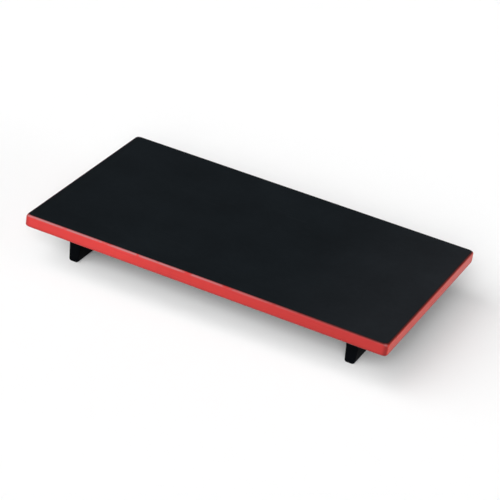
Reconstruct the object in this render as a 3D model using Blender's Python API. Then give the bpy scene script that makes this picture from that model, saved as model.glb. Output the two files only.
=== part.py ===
# Sushi plate: a black-faced board with a red edge, standing on two dowelled feet.
# Sizes are in metres and +Z is up. X runs along the plate and Y from its front to its back.
# The origin is on the table, under the middle of the plate.

import math

import bmesh
import bpy
from mathutils import Matrix

# Board
PLATE_LENGTH = 0.270
PLATE_WIDTH = 0.160
BOARD_THICKNESS = 0.009
CORNER_RADIUS = 0.0022
SHEET_THICKNESS = 0.0008   # each black facing sheet
SHEET_EASING = 0.0001      # off the outer edge of each sheet, level with the band
BAND_THICKNESS = 0.00065   # red edge band, as high as the board
UPPER_ROUNDING = 0.0014    # of the band's top edge
LOWER_ROUNDING = 0.001     # of the band's bottom edge

# Feet
FOOT_HEIGHT = 0.026        # from the table to the underside of the board
FOOT_INSET = 0.0301        # from the end of the plate to the middle of the foot
FOOT_SETBACK = 0.019       # from the long edge of the plate to the end of the foot
FOOT_TOP_WIDTH = 0.011     # against the board
FOOT_BASE_WIDTH = 0.007    # on the table
FOOT_ROUNDING = 0.0016     # rounding of the foot's arrises

# Dowels
DOWEL_DIAMETER = 0.005
DOWEL_LENGTH = 0.020
DOWEL_CHAMFER = 0.0005
DOWEL_MARGIN = 0.0215      # from the end of the foot to the middle of an outer dowel
DOWEL_COVER = 0.002        # core left between a dowel hole and the top sheet
FLUTE_COUNT = 12           # glue flutes round a dowel
FLUTE_DEPTH = 0.0002

# Clearances
GLUE_LINE = 0.0003         # between glued faces
DOWEL_CLEARANCE = 0.0003   # round a dowel and at both its ends
SEAM_GAP = 0.0003          # where the ends of the edge band meet
OVERCUT = 0.002            # how far a cutter runs past the piece that it cuts

# Facets
CORNER_STEPS = 8
ROUNDING_STEPS = 6
FOOT_STEPS = 4
HOLE_SIDES = 24
WELD_DISTANCE = 0.000001
SHARP_ANGLE = math.radians(35)

# Heights above the table
BOARD_BOTTOM = FOOT_HEIGHT
BOARD_TOP = BOARD_BOTTOM + BOARD_THICKNESS
TOP_SHEET_BOTTOM = BOARD_TOP - SHEET_THICKNESS
CORE_TOP = TOP_SHEET_BOTTOM - GLUE_LINE
UNDERSIDE_SHEET_TOP = BOARD_BOTTOM + SHEET_THICKNESS
CORE_BOTTOM = UNDERSIDE_SHEET_TOP + GLUE_LINE
FOOT_TOP = BOARD_BOTTOM - GLUE_LINE
HOLE_TOP = CORE_TOP - DOWEL_COVER
DOWEL_TOP = HOLE_TOP - DOWEL_CLEARANCE
DOWEL_BOTTOM = DOWEL_TOP - DOWEL_LENGTH
HOLE_BOTTOM = DOWEL_BOTTOM - DOWEL_CLEARANCE

# Places in plan
FOOT_X = PLATE_LENGTH / 2 - FOOT_INSET
FOOT_LENGTH = PLATE_WIDTH - 2 * FOOT_SETBACK
DOWEL_Y = FOOT_LENGTH / 2 - DOWEL_MARGIN
FOOT_PLACES = {"left": -FOOT_X, "right": FOOT_X}
DOWEL_PLACES = {"front": -DOWEL_Y, "middle": 0.0, "back": DOWEL_Y}


def clear_scene():
    for old in list(bpy.data.objects):
        bpy.data.objects.remove(old, do_unlink=True)


def new_collection(name):
    collection = bpy.data.collections.new(name)
    bpy.context.scene.collection.children.link(collection)
    return collection


def new_material(name, color, roughness):
    material = bpy.data.materials.new(name)
    material.use_nodes = True
    shader = material.node_tree.nodes["Principled BSDF"]
    shader.inputs["Base Color"].default_value = (*color, 1.0)
    shader.inputs["Roughness"].default_value = roughness
    shader.inputs["Metallic"].default_value = 0.0
    return material


def add_object(name, mesh, collection):
    mesh.name = name
    piece = bpy.data.objects.new(name, mesh)
    collection.objects.link(piece)
    return piece


def mesh_from(bm, name):
    mesh = bpy.data.meshes.new(name)
    bm.to_mesh(mesh)
    bm.free()
    return mesh


def finish_piece(piece, material, parent):
    piece.data.materials.clear()
    piece.data.materials.append(material)
    piece.data.shade_smooth()
    piece.data.set_sharp_from_angle(angle=SHARP_ANGLE)
    piece.parent = parent


def mark_cutter(cutter):
    cutter.hide_render = True
    cutter.display_type = "WIRE"


def cut(piece, cutter):
    boolean = piece.modifiers.new(cutter.name, "BOOLEAN")
    boolean.operation = "DIFFERENCE"
    boolean.solver = "EXACT"
    boolean.object = cutter


def plate_outline(inset):
    # The plate's rounded rectangle, drawn in from its edge by the inset.
    radius = CORNER_RADIUS - inset
    corner_x = PLATE_LENGTH / 2 - CORNER_RADIUS
    corner_y = PLATE_WIDTH / 2 - CORNER_RADIUS
    corners = ((corner_x, corner_y), (-corner_x, corner_y), (-corner_x, -corner_y), (corner_x, -corner_y))
    points = []
    for quarter, (x, y) in enumerate(corners):
        for step in range(CORNER_STEPS + 1):
            angle = math.radians(90) * (quarter + step / CORNER_STEPS)
            points.append((x + radius * math.cos(angle), y + radius * math.sin(angle)))
    return points


def add_slab(name, outline, bottom, top, collection):
    # A flat piece cut to an outline, between two heights.
    curve = bpy.data.curves.new(name, "CURVE")
    curve.dimensions = "2D"
    curve.fill_mode = "BOTH"
    curve.extrude = (top - bottom) / 2
    spline = curve.splines.new("POLY")
    spline.points.add(len(outline) - 1)
    for point, (x, y) in zip(spline.points, outline):
        point.co = (x, y, 0.0, 1.0)
    spline.use_cyclic_u = True
    drawn = bpy.data.objects.new(name, curve)
    collection.objects.link(drawn)
    drawn.location.z = (top + bottom) / 2
    bpy.context.view_layer.update()

    evaluated = drawn.evaluated_get(bpy.context.evaluated_depsgraph_get())
    mesh = bpy.data.meshes.new_from_object(evaluated)
    place = drawn.matrix_world.copy()
    bpy.data.objects.remove(drawn, do_unlink=True)
    bm = bmesh.new()
    bm.from_mesh(mesh)
    bmesh.ops.remove_doubles(bm, verts=bm.verts, dist=WELD_DISTANCE)
    bmesh.ops.recalc_face_normals(bm, faces=bm.faces)
    bm.to_mesh(mesh)
    bm.free()
    slab = add_object(name, mesh, collection)
    slab.matrix_world = place
    return slab


def ease_rim(slab, size, steps, upper):
    # Chamfers the outer edge of a slab's upper or lower face, or rounds it in several steps.
    bm = bmesh.new()
    bm.from_mesh(slab.data)
    rim = []
    for edge in bm.edges:
        on_face = all((corner.co.z > 0) == upper for corner in edge.verts)
        if on_face and edge.calc_face_angle() > SHARP_ANGLE:
            rim.append(edge)
    bmesh.ops.bevel(bm, geom=rim, offset=size, segments=steps, profile=0.5, affect="EDGES")
    bm.to_mesh(slab.data)
    bm.free()


def add_dowel_hole(name, x, y, collection):
    # One hole, bored through the foot, the underside sheet and part of the core.
    bm = bmesh.new()
    radius = DOWEL_DIAMETER / 2 + DOWEL_CLEARANCE
    bmesh.ops.create_cone(
        bm, cap_ends=True, segments=HOLE_SIDES, radius1=radius, radius2=radius, depth=HOLE_TOP - HOLE_BOTTOM
    )
    hole = add_object(name, mesh_from(bm, name), collection)
    hole.location = (x, y, (HOLE_TOP + HOLE_BOTTOM) / 2)
    mark_cutter(hole)
    return hole


def dowel_mesh():
    # A fluted pin with chamfered ends, standing on its lower end.
    bm = bmesh.new()
    radius = DOWEL_DIAMETER / 2
    bmesh.ops.create_cone(
        bm, cap_ends=True, segments=2 * FLUTE_COUNT, radius1=radius, radius2=radius, depth=DOWEL_LENGTH
    )
    flute_angle = math.pi / FLUTE_COUNT
    for corner in bm.verts:
        place = round(math.atan2(corner.co.y, corner.co.x) / flute_angle)
        if place % 2:
            corner.co.xy *= (radius - FLUTE_DEPTH) / radius
    rims = [edge for edge in bm.edges if edge.verts[0].co.z * edge.verts[1].co.z > 0]
    bmesh.ops.bevel(bm, geom=rims, offset=DOWEL_CHAMFER, segments=1, affect="EDGES")
    bmesh.ops.translate(bm, verts=bm.verts, vec=(0, 0, DOWEL_LENGTH / 2))
    return mesh_from(bm, "dowel")


def foot_mesh():
    # A bar that tapers to its base, with every arris rounded but those against the board.
    bm = bmesh.new()
    bmesh.ops.create_cube(bm, size=1.0, matrix=Matrix.Translation((0, 0, 0.5)))
    base = [corner for corner in bm.verts if corner.co.z < 0.5]
    bmesh.ops.scale(bm, verts=bm.verts, vec=(FOOT_TOP_WIDTH, FOOT_LENGTH, FOOT_TOP))
    bmesh.ops.scale(bm, verts=base, vec=(FOOT_BASE_WIDTH / FOOT_TOP_WIDTH, 1, 1))
    rounded = [edge for edge in bm.edges if any(corner in base for corner in edge.verts)]
    bmesh.ops.bevel(bm, geom=rounded, offset=FOOT_ROUNDING, segments=FOOT_STEPS, profile=0.5, affect="EDGES")
    return mesh_from(bm, "foot")


def build_board(parts, cutters, plate):
    panel = plate_outline(BAND_THICKNESS + GLUE_LINE)
    top_sheet = add_slab("top_sheet", panel, TOP_SHEET_BOTTOM, BOARD_TOP, parts)
    core = add_slab("core_panel", panel, CORE_BOTTOM, CORE_TOP, parts)
    underside = add_slab("underside_sheet", panel, BOARD_BOTTOM, UNDERSIDE_SHEET_TOP, parts)
    ease_rim(top_sheet, SHEET_EASING, 1, upper=True)
    ease_rim(underside, SHEET_EASING, 1, upper=False)

    # The band is wrapped round the faced panel, and its edges are rounded down to both faces.
    band = add_slab("edge_band", plate_outline(0), BOARD_BOTTOM, BOARD_TOP, parts)
    ease_rim(band, UPPER_ROUNDING, ROUNDING_STEPS, upper=True)
    ease_rim(band, LOWER_ROUNDING, ROUNDING_STEPS, upper=False)
    opening = add_slab(
        "band_opening", plate_outline(BAND_THICKNESS), BOARD_BOTTOM - OVERCUT, BOARD_TOP + OVERCUT, cutters
    )
    mark_cutter(opening)
    cut(band, opening)

    # The band's two ends meet at the middle of the back edge.
    bm = bmesh.new()
    bmesh.ops.create_cube(bm, size=1.0)
    seam_size = (SEAM_GAP, BAND_THICKNESS + 2 * OVERCUT, BOARD_THICKNESS + 2 * OVERCUT)
    bmesh.ops.scale(bm, verts=bm.verts, vec=seam_size)
    seam = add_object("band_seam", mesh_from(bm, "band_seam"), cutters)
    seam.location = (0, PLATE_WIDTH / 2 - BAND_THICKNESS / 2, BOARD_BOTTOM + BOARD_THICKNESS / 2)
    mark_cutter(seam)
    cut(band, seam)

    sheet_black = new_material("sheet_black", (0.0060, 0.0080, 0.0098), 0.45)
    band_red = new_material("band_red", (0.430, 0.030, 0.030), 0.35)
    board_fibre = new_material("board_fibre", (0.380, 0.235, 0.125), 0.85)
    for sheet in (top_sheet, underside):
        finish_piece(sheet, sheet_black, plate)
    finish_piece(band, band_red, plate)
    finish_piece(core, board_fibre, plate)
    return core, underside


def build_feet(parts, plate):
    foot_black = new_material("foot_black", (0.0025, 0.0029, 0.0035), 0.60)
    shape = foot_mesh()
    feet = {}
    for side, x in FOOT_PLACES.items():
        foot = add_object(f"foot_{side}", shape, parts)
        foot.location.x = x
        finish_piece(foot, foot_black, plate)
        feet[side] = foot
    return feet


def build_dowels(parts, cutters, plate, core, underside, feet):
    dowel_beech = new_material("dowel_beech", (0.560, 0.380, 0.215), 0.70)
    shape = dowel_mesh()
    for side, x in FOOT_PLACES.items():
        for place, y in DOWEL_PLACES.items():
            hole = add_dowel_hole(f"dowel_hole_{side}_{place}", x, y, cutters)
            for piece in (feet[side], underside, core):
                cut(piece, hole)
            dowel = add_object(f"dowel_{side}_{place}", shape, parts)
            dowel.location = (x, y, DOWEL_BOTTOM)
            finish_piece(dowel, dowel_beech, plate)


def main():
    clear_scene()
    parts = new_collection("sushi_plate")
    cutters = new_collection("cutters")
    plate = bpy.data.objects.new("plate", None)
    parts.objects.link(plate)
    core, underside = build_board(parts, cutters, plate)
    feet = build_feet(parts, plate)
    build_dowels(parts, cutters, plate, core, underside, feet)


main()
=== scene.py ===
import math

import bmesh
import bpy
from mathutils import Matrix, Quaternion, Vector, noise


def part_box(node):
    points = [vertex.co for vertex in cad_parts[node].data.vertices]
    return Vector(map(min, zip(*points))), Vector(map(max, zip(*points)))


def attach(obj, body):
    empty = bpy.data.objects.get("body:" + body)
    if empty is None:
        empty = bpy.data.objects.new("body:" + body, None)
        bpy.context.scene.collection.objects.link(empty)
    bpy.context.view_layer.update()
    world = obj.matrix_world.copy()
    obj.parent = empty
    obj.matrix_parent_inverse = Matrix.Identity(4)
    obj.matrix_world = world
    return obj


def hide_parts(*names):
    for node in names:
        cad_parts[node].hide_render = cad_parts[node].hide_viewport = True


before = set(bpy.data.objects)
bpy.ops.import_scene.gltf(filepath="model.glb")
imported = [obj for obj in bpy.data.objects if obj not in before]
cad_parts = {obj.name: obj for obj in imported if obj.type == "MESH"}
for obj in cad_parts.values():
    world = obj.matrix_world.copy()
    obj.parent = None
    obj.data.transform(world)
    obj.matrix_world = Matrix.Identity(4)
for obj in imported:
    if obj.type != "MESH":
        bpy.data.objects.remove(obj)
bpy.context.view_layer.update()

mm = 0.001
sharpAngle = math.radians(40)      # edges that bend more than this are shaded as edges
print("frame: %d nodes loaded" % len(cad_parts))


# small helpers for meshes

def addPiece(name, mesh):
    # a new object on the plate's one body
    piece = bpy.data.objects.new(name, mesh)
    bpy.context.scene.collection.objects.link(piece)
    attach(piece, "root")
    return piece


def closeMesh(bm, name):
    # shaded smooth, apart from the sharp edges
    bmesh.ops.recalc_face_normals(bm, faces=bm.faces)
    mesh = bpy.data.meshes.new(name)
    bm.to_mesh(mesh)
    bm.free()
    mesh.shade_smooth()
    mesh.set_sharp_from_angle(angle=sharpAngle)
    return mesh


def flattenFaces(piece):
    # big flats keep their own normals, so that only the eased edges shade round
    weighted = piece.modifiers.new("flatFaces", "WEIGHTED_NORMAL")
    weighted.keep_sharp = True
    weighted.weight = 100


def loft(bm, rings, closedRing=True, closedWalk=False):
    # quads between rings of equal length
    steps = len(rings) if closedWalk else len(rings) - 1
    for i in range(steps):
        near = rings[i]
        far = rings[(i + 1) % len(rings)]
        sides = len(near) if closedRing else len(near) - 1
        for j in range(sides):
            k = (j + 1) % len(near)
            bm.faces.new((near[j], near[k], far[k], far[j]))


def quarterArc(steps):
    # cosine and sine of a quarter turn
    turns = [math.radians(90) * step / steps for step in range(steps + 1)]
    return [(math.cos(turn), math.sin(turn)) for turn in turns]


# the plate's outer edge, which the board's pieces share

plateEdge = {
    "cornerRadius": 2.2 * mm,
    "cornerSteps": 10,
    "leadSteps": 4,            # finer steps just before and after a corner
    "leadStep": 0.9 * mm,
    "runStep": 3.0 * mm,       # spacing of points along the straight runs
    "roundSteps": 7,           # over a rounded edge
    # outlines inside the edge, as how far in and with what corner radius
    "upperRound": (1.4 * mm, 2.5 * mm),    # the flat of the top
    "lowerRound": (1.0 * mm, 2.6 * mm),    # the flat of the underside
    "bandDepth": (0.82 * mm, 1.38 * mm),   # the band's inner face
    "lipDepth": (1.15 * mm, 3.0 * mm),     # where black meets red on the top
    "underDepth": (0.88 * mm, 2.6 * mm),   # and on the underside
    "halvings": 24,            # in the search for an outline
    "lipHeight": 0.8 * mm,     # the lips are as thick as the sheets
    "wander": 0.05 * mm,       # how far the joints wander off their outlines
    "wanderPitch": 24.0 * mm,
}
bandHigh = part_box("edge_band")[1]
sheetLow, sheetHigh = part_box("top_sheet")
underLow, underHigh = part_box("underside_sheet")
halfLength, halfWidth = bandHigh.x, bandHigh.y
boardBottom, boardTop = underLow.z, sheetHigh.z


def edgeWalk():
    # once round the outer edge from the middle of the back, as (point, outward) pairs
    radius = plateEdge["cornerRadius"]
    back = (Vector((0, halfWidth)), Vector((0, 1)))
    stops = [back]
    for corner in range(4):    # back left, front left, front right, back right
        middle = math.radians(135 + 90 * corner)
        centre = Vector((
            math.copysign(halfLength - radius, math.cos(middle)),
            math.copysign(halfWidth - radius, math.sin(middle)),
        ))
        steps, lead = plateEdge["cornerSteps"], plateEdge["leadSteps"]
        for step in range(-lead, steps + lead + 1):
            bendShade = min(max(step, 0), steps)
            turn = math.radians(90 + 90 * (corner + bendShade / steps))
            outward = Vector((math.cos(turn), math.sin(turn)))
            onward = Vector((-outward.y, outward.x))
            straight = (step - bendShade) * plateEdge["leadStep"]
            stops.append((centre + radius * outward + straight * onward, outward))
    stops.append(back)

    walk = [stops[0]]
    for (start, _), (end, outward) in zip(stops, stops[1:]):
        pieces = max(1, math.ceil((end - start).length / plateEdge["runStep"]))
        for piece in range(1, pieces + 1):
            walk.append((start.lerp(end, piece / pieces), outward))
    return walk


def insetOf(point, outward, outline):
    # how far in from this point of the walk an outline lies, found by halving
    depth, corner = plateEdge[outline]
    coreX, coreY = halfLength - depth - corner, halfWidth - depth - corner
    near, far = 0.0, plateEdge["cornerRadius"]
    for _ in range(plateEdge["halvings"]):
        middle = (near + far) / 2
        spot = point - middle * outward
        over = math.hypot(max(abs(spot.x) - coreX, 0.0), max(abs(spot.y) - coreY, 0.0))
        if over > corner:
            near = middle
        else:
            far = middle
    return far


def jointInset(point, outward, outline):
    # the same for a joint, which wanders a little
    drift = noise.noise((*(point / plateEdge["wanderPitch"]), 0.0))
    return insetOf(point, outward, outline) + plateEdge["wander"] * drift


def roundOver(radius, fromInset, toInset):
    # points of a rounded edge between two insets, as (inset, drop)
    start, end = [math.asin(1 - min(inset, radius) / radius) for inset in (fromInset, toInset)]
    points = []
    for step in range(plateEdge["roundSteps"] + 1):
        turn = start + (end - start) * step / plateEdge["roundSteps"]
        points.append((radius * (1 - math.sin(turn)), radius * (1 - math.cos(turn))))
    return points


def sweep(bm, walk, sectionAt):
    # one ring of vertices for each point of the walk
    rings = []
    for point, outward in walk:
        section = sectionAt(point, outward)
        rings.append([bm.verts.new((*(point - inset * outward), height)) for inset, height in section])
    return rings


# shader helpers

nodeSpacing = 190                  # in the node editor
noiseMiddle = (0.3, 0.7)           # where most values of a noise lie


def put(tree, kind, sockets=None, **settings):
    # one node, with values or links for its inputs
    node = tree.nodes.new(kind)
    node.location = (len(tree.nodes) * nodeSpacing, 0)
    for key, value in settings.items():
        setattr(node, key, value)
    for key, value in (sockets or {}).items():
        if isinstance(value, bpy.types.NodeSocket):
            tree.links.new(value, node.inputs[key])
        else:
            node.inputs[key].default_value = value
    return node


def math2(tree, operation, first, second):
    return put(tree, "ShaderNodeMath", {0: first, 1: second}, operation=operation).outputs[0]


def times(tree, value, *factors):
    for factor in factors:
        value = math2(tree, "MULTIPLY", value, factor)
    return value


def ramp(tree, value, fromLow, fromHigh, toLow=0.0, toHigh=1.0):
    # a soft step between two values
    sockets = {"Value": value, "From Min": fromLow, "From Max": fromHigh, "To Min": toLow, "To Max": toHigh}
    return put(tree, "ShaderNodeMapRange", sockets, interpolation_type="SMOOTHSTEP").outputs[0]


def blendColor(tree, factor, first, second, way="MIX"):
    sockets = {0: factor, 6: first, 7: second}
    return put(tree, "ShaderNodeMix", sockets, data_type="RGBA", blend_type=way).outputs[2]


def surfacePlace(tree):
    # where a point lies on the plate, in metres
    return put(tree, "ShaderNodeTexCoord").outputs["Object"]


def byAxis(tree, place):
    return put(tree, "ShaderNodeSeparateXYZ", {"Vector": place}).outputs


def noiseOf(tree, place, scale, detail=2.0, roughness=0.5):
    sockets = {"Vector": place, "Scale": scale, "Detail": detail, "Roughness": roughness}
    return put(tree, "ShaderNodeTexNoise", sockets).outputs[0]


def streaksOf(tree, scale, detail=2.0, roughness=0.5):
    # a noise drawn out into streaks, by scaling each axis on its own
    place = put(tree, "ShaderNodeMapping", {"Vector": surfacePlace(tree), "Scale": scale}).outputs[0]
    return noiseOf(tree, place, 1.0, detail, roughness)


def bump(tree, height, depth):
    return put(tree, "ShaderNodeBump", {"Height": height, "Distance": depth, "Strength": 1.0}).outputs[0]


# effects that the finishes share

def newGroup(name, takes, gives):
    # an empty effect with named number sockets
    tree = bpy.data.node_groups.new(name, "ShaderNodeTree")
    for label, usual in takes.items():
        socket = tree.interface.new_socket(label, in_out="INPUT", socket_type="NodeSocketFloat")
        socket.default_value = usual
    tree.interface.new_socket(gives, in_out="OUTPUT", socket_type="NodeSocketFloat")
    return tree, tree.nodes.new("NodeGroupInput").outputs, tree.nodes.new("NodeGroupOutput").inputs


def useGroup(tree, group, **values):
    node = put(tree, "ShaderNodeGroup", node_tree=group)
    for label, value in values.items():
        node.inputs[label].default_value = value
    return node.outputs[0]


def makeCloudyTone():
    # slow drift and fine mottle of a tone, about one
    fineRatio = 9.0            # how much finer the mottle is than the drift
    slowShare, fineShare = 1.3, 0.7
    average = (slowShare + fineShare) / 2
    gain = 2.0                 # brings the noise's swing up to the depth asked for
    tree, takes, gives = newGroup("cloudyTone", {"Size": 30.0, "Depth": 0.1}, "Tone")
    place = surfacePlace(tree)
    slow = noiseOf(tree, place, takes["Size"], detail=3.0)
    fine = noiseOf(tree, place, times(tree, takes["Size"], fineRatio), detail=4.0, roughness=0.6)
    mixed = math2(tree, "ADD", times(tree, slow, slowShare), times(tree, fine, fineShare))
    centred = math2(tree, "SUBTRACT", mixed, average)
    swing = times(tree, centred, times(tree, takes["Depth"], gain))
    tree.links.new(math2(tree, "ADD", swing, 1.0), gives["Tone"])
    return tree


def makeLacquerPeel():
    # the low ripple of a sprayed or pressed skin, as a height
    gritRatio = 6.0            # how much finer the grit is than the ripple
    tree, takes, gives = newGroup("lacquerPeel", {"Size": 450.0, "Grit": 0.3}, "Height")
    place = surfacePlace(tree)
    ripple = noiseOf(tree, place, takes["Size"], detail=1.0)
    grit = noiseOf(tree, place, times(tree, takes["Size"], gritRatio))
    tree.links.new(math2(tree, "ADD", ripple, times(tree, grit, takes["Grit"])), gives["Height"])
    return tree


def makeHairScratches():
    # fine wiping scratches in two directions, as a mask
    wipes = (0.32, -0.75)              # their turns, in radians
    drawnOut = (0.016, 1.0, 1.0)       # scale that draws a noise out into lines
    lineRange = (0.67, 0.76)
    patchSize, patchRange = 38.0, (0.45, 0.65)
    tree, takes, gives = newGroup("hairScratches", {"Amount": 0.3, "Fineness": 1400.0}, "Mask")
    masks = []
    for wipe in wipes:
        sockets = {"Vector": surfacePlace(tree), "Rotation": (0.0, 0.0, wipe), "Scale": drawnOut}
        place = put(tree, "ShaderNodeMapping", sockets).outputs[0]
        lines = noiseOf(tree, place, takes["Fineness"], detail=1.0)
        masks.append(ramp(tree, lines, *lineRange))
    both = math2(tree, "MAXIMUM", *masks)
    patches = ramp(tree, noiseOf(tree, surfacePlace(tree), patchSize), *patchRange)
    tree.links.new(times(tree, both, patches, takes["Amount"]), gives["Mask"])
    return tree


def makeEdgeWearAndPaintedLight():
    # broken patches that grow from one height to another, as a mask: real wear on the feet, a painted
    # highlight and painted shade on the band
    softness = 0.17            # of the rims of its patches
    usual = {"Low": 0.0, "High": 1.0, "Size": 120.0, "Gaps": 0.45, "Amount": 0.5}
    tree, takes, gives = newGroup("edgeWearAndPaintedLight", usual, "Mask")
    place = surfacePlace(tree)
    near = ramp(tree, byAxis(tree, place)["Z"], takes["Low"], takes["High"])
    patches = noiseOf(tree, place, takes["Size"], detail=4.0, roughness=0.65)
    broken = ramp(tree, patches, takes["Gaps"], math2(tree, "ADD", takes["Gaps"], softness))
    tree.links.new(times(tree, near, broken, takes["Amount"]), gives["Mask"])
    return tree


cloudyTone = makeCloudyTone()
lacquerPeel = makeLacquerPeel()
hairScratches = makeHairScratches()
edgeWearAndPaintedLight = makeEdgeWearAndPaintedLight()
# the edge effect is real wear on the feet, and painted highlight and shade on the band
print("effects: cloudy tone, lacquer peel, hair scratches, rubbed edge")


def newFinish(name, specular):
    # a material with its tree and its shader
    material = bpy.data.materials.new(name)
    material.use_nodes = True
    shader = material.node_tree.nodes["Principled BSDF"]
    shader.inputs["Specular IOR Level"].default_value = specular
    return material, material.node_tree, shader


def wire(tree, shader, color, roughness, normal):
    feeds = {"Base Color": color, "Roughness": roughness, "Normal": normal}
    for label, socket in feeds.items():
        tree.links.new(socket, shader.inputs[label])


# black facing sheets

facingSheet = {
    "gap": 0.02 * mm,          # hairline between a sheet and the band
    "black": (0.0066, 0.0089, 0.0109, 1),
    "sheenGrey": (0.0132, 0.0150, 0.0176, 1),    # a painted sheen: the right end is made a little greyer, as if it caught a reflection
    "sheenFrom": 0.15,         # in half lengths from the middle
    "sheenTo": 1.2,
    "scuffed": (0.026, 0.029, 0.032, 1),
    "scratches": 0.30,
    "toneSize": 26.0,
    "toneDepth": 0.22,
    "strokeScale": (14.0, 30.0, 20.0),
    "roughLow": 0.62,
    "roughHigh": 0.66,
    "specular": 0.02,
    "peelSize": 420.0,
    "peelDepth": 0.012 * mm,
}


def makeSheetFinish():
    look = facingSheet
    finish, tree, shader = newFinish("satinBlack", look["specular"])
    tone = useGroup(tree, cloudyTone, Size=look["toneSize"], Depth=look["toneDepth"])
    lines = useGroup(tree, hairScratches, Amount=look["scratches"])
    rightward = byAxis(tree, surfacePlace(tree))["X"]
    # painted sheen, greyer towards the right end
    sheenMask = ramp(tree, rightward, look["sheenFrom"] * halfLength, look["sheenTo"] * halfLength)
    base = blendColor(tree, sheenMask, look["black"], look["sheenGrey"])
    toned = blendColor(tree, 1.0, base, tone, "MULTIPLY")
    color = blendColor(tree, lines, toned, look["scuffed"])
    strokes = streaksOf(tree, look["strokeScale"], detail=3.0)
    rough = ramp(tree, strokes, *noiseMiddle, look["roughLow"], look["roughHigh"])
    peel = useGroup(tree, lacquerPeel, Size=look["peelSize"])
    wire(tree, shader, color, rough, bump(tree, peel, look["peelDepth"]))
    return finish


def makeSheet(name, inner, outer, rounding, joining):
    # a sheet laid up to the band, whose outer face turns with the rounded edge
    side = 1 if outer > inner else -1

    def sectionAt(point, outward):
        joint = jointInset(point, outward, joining) + facingSheet["gap"]
        radius = insetOf(point, outward, rounding)
        eased = [(inset, outer - side * drop) for inset, drop in roundOver(radius, joint, radius)]
        return [(joint, inner)] + eased

    bm = bmesh.new()
    rows = sweep(bm, edgeWalk()[:-1], sectionAt)
    loft(bm, rows, closedRing=False, closedWalk=True)
    bm.faces.new([row[0] for row in rows])
    bm.faces.new([row[-1] for row in rows])
    return closeMesh(bm, name)


sheetFinish = makeSheetFinish()
top = addPiece("servingTop", makeSheet("servingTop", sheetLow.z, boardTop, "upperRound", "lipDepth"))
top.data.materials.append(sheetFinish)
flattenFaces(top)
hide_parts("top_sheet")
print("top: black sheet laid")


# red edge band

edgeBand = {
    "seam": 0.08 * mm,         # hairline where the ends meet at the back
    "frontShadedRed": (0.418, 0.033, 0.033, 1),     # on the front: a darker copy of the red, as painted shade
    "sideLitAndStreakRed": (0.440, 0.028, 0.016, 1),   # elsewhere a brighter copy, as painted light; in streaks on the front a random tone
    "warmStreaks": 0.3,
    "streakScale": (24.0, 24.0, 700.0),
    "toneSize": 22.0,
    "toneDepth": 0.08,
    "roughRange": (0.25, 0.75),
    "roughLow": 0.27,
    "roughHigh": 0.31,
    "specular": 0.1,
    "peelSize": 700.0,
    "peelDepth": 0.006 * mm,
    "frontFull": 0.4 * mm,     # how far in from the front the front's mask is full
    "frontEnd": 1.8 * mm,      # and where it ends
    "frontPaintedShade": 0.70,         # painted shade: the front is darker towards its right end
    "cornerPaintedShade": 0.74,        # and painted shade round the bends at the corners
    "bendX": (1.9, 0.5),       # where the mask of a bend starts and is full, in corner radii from the ends
    "bendY": (1.0, 0.3),       # and from the long sides
    "middleBlend": 10 * mm,    # either side of the middle, between front and back corners
    "paintedHighlight": (0.295, 0.122, 0.128, 1),      # painted highlight: the front's crown made pale pink, in broken patches
    "highlightAmount": 0.90,
    "highlightSize": 95.0,
    "highlightGaps": 0.32,
    "highlightBelow": 0.8 * mm,     # its reach below the middle of the rounding
    "highlightAbove": 0.1 * mm,     # and above it
    "highlightRun": (-60 * mm, 120 * mm),         # it fades to the right
    "highlightLeast": 0.1,
    "highlightCorner": 0.6,         # and is weaker at the corners
    # the black of the lacquer on the rim, and the dark of the painted shade on the lower edge
    "blackLacquerAndShade": (0.012, 0.006, 0.006, 1),
    "lowerShadeAmount": 0.24,        # painted shade: the lower edge, which faces down, is darker
    "lowerShadeHeight": 3.4 * mm,
    "lowerShadeSize": 60.0,
    "lowerShadeGaps": 0.2,
    "rimDrop": 0.1 * mm,       # the black starts to thin out this far below the top
    "overlap": 1.1 * mm,       # how far it thins out down the rounded edge
    "overlapFront": 0.9 * mm,  # the same at the right end of the front
    "overlapRun": (-20 * mm, 130 * mm),      # along which it comes in there
    "overlapDark": 0.85,       # how dark it is where it starts
    "overlapCorner": 0.25,     # and at the front corners
}


def bandSection(point, outward):
    # the band's section as (inset, height), from its lower lip outwards and up
    inner = jointInset(point, outward, "bandDepth")
    lip = jointInset(point, outward, "lipDepth")
    lowLip = jointInset(point, outward, "underDepth")
    lower = roundOver(insetOf(point, outward, "lowerRound"), lowLip, 0.0)
    upper = roundOver(insetOf(point, outward, "upperRound"), 0.0, lip)
    section = [(inset, boardBottom + drop) for inset, drop in lower]
    section += [(inset, boardTop - drop) for inset, drop in upper]
    step = boardTop - plateEdge["lipHeight"]
    lowStep = boardBottom + plateEdge["lipHeight"]
    return section + [(lip, step), (inner, step), (inner, lowStep), (lowLip, lowStep)]


def makeBand():
    bm = bmesh.new()
    walk = edgeWalk()
    half = Vector((edgeBand["seam"] / 2, 0))
    walk[0] = (walk[0][0] - half, walk[0][1])
    walk[-1] = (walk[-1][0] + half, walk[-1][1])
    rings = sweep(bm, walk, bandSection)
    loft(bm, rings)
    bm.faces.new(rings[0])
    bm.faces.new(rings[-1])
    return closeMesh(bm, "redEdgeBand")


def makeCornerMask(tree, place):
    # one at the middle of each bend, none along the straight runs
    masks = []
    radius = plateEdge["cornerRadius"]
    reaches = (("X", halfLength, edgeBand["bendX"]), ("Y", halfWidth, edgeBand["bendY"]))
    for axis, half, (start, full) in reaches:
        out = put(tree, "ShaderNodeMath", {0: place[axis]}, operation="ABSOLUTE").outputs[0]
        masks.append(ramp(tree, out, half - start * radius, half - full * radius))
    return times(tree, *masks)


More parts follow.
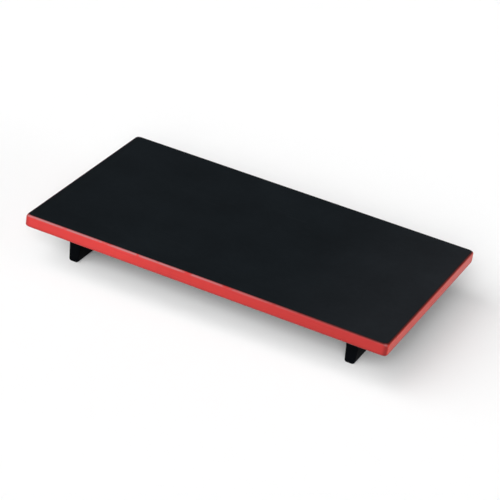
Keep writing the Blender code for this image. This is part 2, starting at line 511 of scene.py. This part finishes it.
def makeBandZones(tree, place):
    # masks of the places that get their own copy of the red, painted shade or a painted highlight
    look = edgeBand
    front = ramp(tree, place["Y"], look["frontFull"] - halfWidth, look["frontEnd"] - halfWidth, 1.0, 0.0)
    corner = makeCornerMask(tree, place)
    ahead = ramp(tree, place["Y"], -look["middleBlend"], look["middleBlend"], 1.0, 0.0)
    return {
        "front": front,
        "offFront": math2(tree, "SUBTRACT", 1.0, front),
        "corner": corner,
        "frontCorner": times(tree, corner, ahead),
    }


def makeBandRed(tree, place, zones, streak):
    # the front's darker or the sides' brighter copy of the red, with painted shade towards the front's
    # right end and round the bends
    look = edgeBand
    streaked = ramp(tree, streak, *noiseMiddle, 0.0, look["warmStreaks"])
    # the sides get the brighter copy as painted light, the front the darker copy as painted shade, with
    # random streaks of the brighter one
    sideLitOrStreak = math2(tree, "MAXIMUM", zones["offFront"], streaked)
    hue = blendColor(tree, sideLitOrStreak, look["frontShadedRed"], look["sideLitAndStreakRed"])
    rightward = ramp(tree, place["X"], -halfLength, halfLength)
    # painted shade, darker towards the front's right end
    along = times(tree, zones["front"], rightward, look["frontPaintedShade"] - 1)
    # painted shade round the bends
    bendShade = times(tree, zones["corner"], look["cornerPaintedShade"] - 1)
    paintedShading = math2(tree, "ADD", math2(tree, "ADD", along, bendShade), 1.0)
    tone = useGroup(tree, cloudyTone, Size=look["toneSize"], Depth=look["toneDepth"])
    return blendColor(tree, 1.0, hue, times(tree, tone, paintedShading), "MULTIPLY")


def makeBandHighlightAndShade(tree, place, zones, red):
    # a painted highlight along the front's crown, and painted shade along the lower edge
    look = edgeBand
    crown = boardTop - plateEdge["upperRound"][0] / 2
    # a painted highlight along the front's crown and at the front corners
    rubOrHighlight = useGroup(
        tree, edgeWearAndPaintedLight, Low=crown - look["highlightBelow"], High=crown + look["highlightAbove"],
        Size=look["highlightSize"], Gaps=look["highlightGaps"], Amount=look["highlightAmount"]
    )
    # painted shade, darker towards the lower edge in broken patches
    lowerShade = useGroup(
        tree, edgeWearAndPaintedLight, Low=boardBottom + look["lowerShadeHeight"], High=boardBottom,
        Size=look["lowerShadeSize"], Gaps=look["lowerShadeGaps"], Amount=look["lowerShadeAmount"]
    )
    leftward = ramp(tree, place["X"], *look["highlightRun"], 1.0, look["highlightLeast"])
    leftFront = times(tree, zones["front"], leftward)
    highlightZone = math2(tree, "MAXIMUM", leftFront, times(tree, zones["frontCorner"], look["highlightCorner"]))
    wornOrHighlighted = blendColor(tree, times(tree, rubOrHighlight, highlightZone), red, look["paintedHighlight"])
    return blendColor(tree, lowerShade, wornOrHighlighted, look["blackLacquerAndShade"])


def makeBandRim(tree, place, zones, highlightedAndShaded):
    # the sheet's black, which thins out down the rounded edge
    look = edgeBand
    rim = boardTop - look["rimDrop"]
    usual = ramp(tree, place["Z"], rim - look["overlap"], rim)
    ahead = ramp(tree, place["Z"], rim - look["overlapFront"], rim)
    rightEnd = ramp(tree, place["X"], *look["overlapRun"])
    onFront = times(tree, ahead, zones["front"], rightEnd)
    elsewhere = times(tree, usual, zones["offFront"])
    depth = ramp(tree, zones["frontCorner"], 0.0, 1.0, look["overlapDark"], look["overlapCorner"])
    dark = times(tree, math2(tree, "ADD", onFront, elsewhere), depth)
    return blendColor(tree, dark, highlightedAndShaded, look["blackLacquerAndShade"])


def makeBandFinish():
    look = edgeBand
    finish, tree, shader = newFinish("redEdging", look["specular"])
    place = byAxis(tree, surfacePlace(tree))
    zones = makeBandZones(tree, place)
    streak = streaksOf(tree, look["streakScale"])
    red = makeBandRed(tree, place, zones, streak)
    highlightedAndShaded = makeBandHighlightAndShade(tree, place, zones, red)
    color = makeBandRim(tree, place, zones, highlightedAndShaded)
    rough = ramp(tree, streak, *look["roughRange"], look["roughLow"], look["roughHigh"])
    peel = useGroup(tree, lacquerPeel, Size=look["peelSize"])
    wire(tree, shader, color, rough, bump(tree, peel, look["peelDepth"]))
    return finish


band = addPiece("redEdgeBand", makeBand())
band.data.materials.append(makeBandFinish())
flattenFaces(band)
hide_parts("edge_band")
print("band: wrapped round the board")


# feet

foot = {
    "baseWidth": 7.0 * mm,
    "rounding": 1.7 * mm,      # of the upright and lower arrises
    "leastRounding": 0.35,     # share of it that is left at the base
    "arcSteps": 7,
    "joint": 0.02 * mm,        # left below the underside sheet
    "black": (0.0014, 0.0018, 0.0025, 1),
    "grain": (0.0026, 0.0028, 0.0032, 1),
    "grainScale": (900.0, 16.0, 900.0),
    "poreRange": (0.5, 0.72),
    "grainDepth": 0.03 * mm,
    "toneSize": 60.0,
    "toneDepth": 0.15,
    "wornOrHighlighted": (0.012, 0.011, 0.010, 1),      # worn where it stands on the table
    "rubHeight": 1.2 * mm,
    "rubSize": 160.0,
    "rubAmount": 0.45,
    "roughLow": 0.48,
    "roughHigh": 0.64,
    "specular": 0.01,
    "peelSize": 500.0,
    "peelShare": 0.4,          # of the pores' depth
}


def footRing(bm, middle, halfX, halfY, height, radius):
    # a rounded rectangle in plan
    ring = []
    arc = quarterArc(foot["arcSteps"])
    corners = ((1, 1), (-1, 1), (-1, -1), (1, -1))
    for index, (sideX, sideY) in enumerate(corners):
        turned = arc if index % 2 == 0 else arc[::-1]
        for c, s in turned:
            x = sideX * (halfX - radius + radius * c)
            y = sideY * (halfY - radius + radius * s)
            ring.append(bm.verts.new((middle + x, y, height)))
    return ring


def makeFoot(name, low, high, topHeight):
    # a tapered bar, eased at its base
    bm = bmesh.new()
    middle = (low.x + high.x) / 2
    topHalf = (high.x - low.x) / 2
    baseHalf = foot["baseWidth"] / 2
    radius = foot["rounding"]
    levels = [(radius * (1 - s), radius * (1 - c)) for c, s in quarterArc(foot["arcSteps"])]
    levels.append((0.0, topHeight))
    rings = []
    for draw, height in levels:
        halfX = baseHalf + (topHalf - baseHalf) * height / topHeight - draw
        corner = max(radius - draw, foot["leastRounding"] * radius)
        rings.append(footRing(bm, middle, halfX, high.y - draw, height, corner))
    loft(bm, rings)
    bm.faces.new(rings[0])
    bm.faces.new(rings[-1])
    return closeMesh(bm, name)


def makeFootFinish():
    look = foot
    finish, tree, shader = newFinish("mattBlackLacquer", look["specular"])
    fibres = streaksOf(tree, look["grainScale"], detail=4.0, roughness=0.6)
    pores = ramp(tree, fibres, *look["poreRange"])
    tone = useGroup(tree, cloudyTone, Size=look["toneSize"], Depth=look["toneDepth"])
    wood = blendColor(tree, pores, look["black"], look["grain"])
    toned = blendColor(tree, 1.0, wood, tone, "MULTIPLY")
    rubOrHighlight = useGroup(
        tree, edgeWearAndPaintedLight, Low=look["rubHeight"], High=0.0, Size=look["rubSize"], Amount=look["rubAmount"]
    )
    color = blendColor(tree, rubOrHighlight, toned, look["wornOrHighlighted"])
    rough = ramp(tree, fibres, *noiseMiddle, look["roughLow"], look["roughHigh"])
    peel = useGroup(tree, lacquerPeel, Size=look["peelSize"])
    height = math2(tree, "SUBTRACT", times(tree, peel, look["peelShare"]), pores)
    wire(tree, shader, color, rough, bump(tree, height, look["grainDepth"]))
    return finish


footFinish = makeFootFinish()
feet = []
for side in ("left", "right"):
    low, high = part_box("foot_" + side)
    name = "foot" + side.capitalize()
    bar = addPiece(name, makeFoot(name, low, high, boardBottom - foot["joint"]))
    bar.data.materials.append(footFinish)
    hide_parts("foot_" + side)
    feet.append(bar)
print("feet: %d tapered bars" % len(feet))


# underside sheet

underMesh = makeSheet("undersideFace", underHigh.z, boardBottom, "lowerRound", "underDepth")
under = addPiece("undersideFace", underMesh)
under.data.materials.append(sheetFinish)
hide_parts("underside_sheet")
print("underside: black sheet laid")


# dowels and their bores

dowelPin = {
    "clearance": 0.1 * mm,     # of its bore
    "over": 0.3 * mm,          # the bore goes past each end
    "sides": 32,
    "pale": (0.62, 0.43, 0.25, 1),
    "dark": (0.42, 0.26, 0.13, 1),
    "fibreScale": (1500.0, 1500.0, 45.0),
    "fibreDepth": 0.05 * mm,
}
dowelNodes = [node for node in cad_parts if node.startswith("dowel_")]


def makeBores():
    bm = bmesh.new()
    for node in dowelNodes:
        low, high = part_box(node)
        radius = (high.x - low.x) / 2 + dowelPin["clearance"]
        depth = high.z - low.z + 2 * dowelPin["over"]
        made = bmesh.ops.create_cone(
            bm, cap_ends=True, segments=dowelPin["sides"], radius1=radius, radius2=radius, depth=depth
        )
        bmesh.ops.translate(bm, verts=made["verts"], vec=(low + high) / 2)
    cutter = bpy.data.objects.new("dowelBores", closeMesh(bm, "dowelBores"))
    bpy.context.scene.collection.objects.link(cutter)
    return cutter


def cutBores(piece, cutter):
    # cuts the bores for good, so that the cutter can go
    boolean = piece.modifiers.new("dowelBores", "BOOLEAN")
    boolean.object = cutter
    boolean.operation = "DIFFERENCE"
    boolean.solver = "EXACT"
    whole = piece.evaluated_get(bpy.context.evaluated_depsgraph_get())
    bored = bpy.data.meshes.new_from_object(whole)
    piece.modifiers.remove(boolean)
    bored.name = piece.data.name
    bored.set_sharp_from_angle(angle=sharpAngle)
    piece.data = bored


cutter = makeBores()
for piece in (*feet, under):
    cutBores(piece, cutter)
    flattenFaces(piece)
bpy.data.objects.remove(cutter)
print("bores: cut for %d dowels" % len(dowelNodes))


# pieces kept as they are built: core and dowels

corePanel = {
    "pale": (0.46, 0.30, 0.17, 1),
    "dark": (0.25, 0.14, 0.07, 1),
    "fibreScale": (240.0, 240.0, 900.0),
    "fibreDepth": 0.06 * mm,
}
rawWood = {
    "fibreRange": (0.32, 0.68),
    "toneSize": 80.0,
    "toneDepth": 0.15,
    "roughDark": 0.9,
    "roughPale": 0.72,
    "specular": 0.2,
}


def makeRawWood(name, look):
    finish, tree, shader = newFinish(name, rawWood["specular"])
    fibres = streaksOf(tree, look["fibreScale"], detail=5.0, roughness=0.65)
    tone = useGroup(tree, cloudyTone, Size=rawWood["toneSize"], Depth=rawWood["toneDepth"])
    wood = blendColor(tree, ramp(tree, fibres, *rawWood["fibreRange"]), look["dark"], look["pale"])
    color = blendColor(tree, 1.0, wood, tone, "MULTIPLY")
    rough = ramp(tree, fibres, *noiseMiddle, rawWood["roughDark"], rawWood["roughPale"])
    wire(tree, shader, color, rough, bump(tree, fibres, look["fibreDepth"]))
    return finish


def dress(node, finish):
    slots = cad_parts[node].data.materials
    slots.clear()
    slots.append(finish)


dress("core_panel", makeRawWood("rawFibreBoard", corePanel))
beech = makeRawWood("rawBeech", dowelPin)
for node in dowelNodes:
    dress(node, beech)
print("kept nodes: core and dowels dressed")


# floor, light and camera

floorLook = {
    "half": 40.0,
    "white": (0.935, 0.935, 0.935, 1),
}


def makeFloor():
    # seen from above only, so that a view from below shows the underside
    half = floorLook["half"]
    corners = ((-half, -half), (half, -half), (half, half), (-half, half))
    bm = bmesh.new()
    bm.faces.new([bm.verts.new((x, y, 0)) for x, y in corners])
    mesh = bpy.data.meshes.new("floor")
    bm.to_mesh(mesh)
    bm.free()
    floor = bpy.data.objects.new("floor", mesh)
    bpy.context.scene.collection.objects.link(floor)
    paper = bpy.data.materials.new("whitePaper")
    paper.use_nodes = True
    tree = paper.node_tree
    tree.nodes.remove(tree.nodes["Principled BSDF"])
    white = put(tree, "ShaderNodeBsdfDiffuse", {"Color": floorLook["white"]})
    clear = put(tree, "ShaderNodeBsdfTransparent")
    behind = put(tree, "ShaderNodeNewGeometry").outputs["Backfacing"]
    seen = put(tree, "ShaderNodeMixShader", {0: behind, 1: white.outputs[0], 2: clear.outputs[0]})
    tree.links.new(seen.outputs[0], tree.nodes["Material Output"].inputs["Surface"])
    mesh.materials.append(paper)


def direction(azimuth, elevation):
    # azimuth from +X towards +Y, both in degrees
    across, up = math.radians(azimuth), math.radians(elevation)
    return Vector((math.cos(up) * math.cos(across), math.cos(up) * math.sin(across), math.sin(up)))


lamps = {
    "key": {"azimuth": 285, "elevation": 30, "spread": 34, "strength": 2.85},
    "fill": {"azimuth": 220, "elevation": 38, "spread": 76, "strength": 2.5},
    "side": {"azimuth": 0, "elevation": 4, "spread": 22, "strength": 1.5},
}


def makeLamps():
    for name, lamp in lamps.items():
        light = bpy.data.lights.new(name, "SUN")
        light.energy = lamp["strength"]
        light.angle = math.radians(lamp["spread"])
        sun = bpy.data.objects.new(name, light)
        sun.rotation_mode = "QUATERNION"
        sun.rotation_quaternion = direction(lamp["azimuth"], lamp["elevation"]).to_track_quat("Z", "Y")
        bpy.context.scene.collection.objects.link(sun)


surround = {
    "horizon": 1.0,
    "wallTop": 0.10,           # sine of the elevation where the pale wall starts to fade
    "dimFrom": 0.30,           # and where it has gone
    "dim": 0.03,
    "overheadFrom": 0.45,
    "overhead": 0.08,
}


def makeSurround():
    world = bpy.data.worlds.new("studio")
    bpy.context.scene.world = world
    world.use_nodes = True
    tree = world.node_tree
    place = put(tree, "ShaderNodeTexCoord").outputs["Generated"]
    upward = byAxis(tree, place)["Z"]
    ring = ramp(tree, upward, surround["wallTop"], surround["dimFrom"], surround["horizon"], 0.0)
    above = ramp(tree, upward, surround["overheadFrom"], 1.0, surround["dim"], surround["overhead"])
    level = math2(tree, "ADD", ring, above)
    tree.links.new(level, tree.nodes["Background"].inputs["Color"])


photoCamera = {
    "aim": (9.0 * mm, -24.1 * mm, 35.0 * mm),
    "distance": 1.4425,
    "azimuth": 21.59,          # towards the plate's right, from its front
    "elevation": 28.36,
    "roll": 8.93,
    "lens": 152.98,
    "sensor": 36.0,
    "farthest": 200.0,
}


def makeCamera():
    view = photoCamera
    optics = bpy.data.cameras.new("photoCamera")
    optics.sensor_width = view["sensor"]
    optics.lens = view["lens"]
    optics.clip_end = view["farthest"]
    camera = bpy.data.objects.new("photoCamera", optics)
    towards = direction(view["azimuth"] - 90, view["elevation"])
    camera.location = Vector(view["aim"]) + view["distance"] * towards
    camera.rotation_mode = "QUATERNION"
    level = towards.to_track_quat("Z", "Y")
    camera.rotation_quaternion = level @ Quaternion((0, 0, 1), math.radians(view["roll"]))
    bpy.context.scene.collection.objects.link(camera)
    bpy.context.scene.camera = camera


makeFloor()
makeLamps()
makeSurround()
makeCamera()
bpy.context.scene.view_settings.view_transform = "Standard"
print("stage: floor, lamps, surround and camera set")
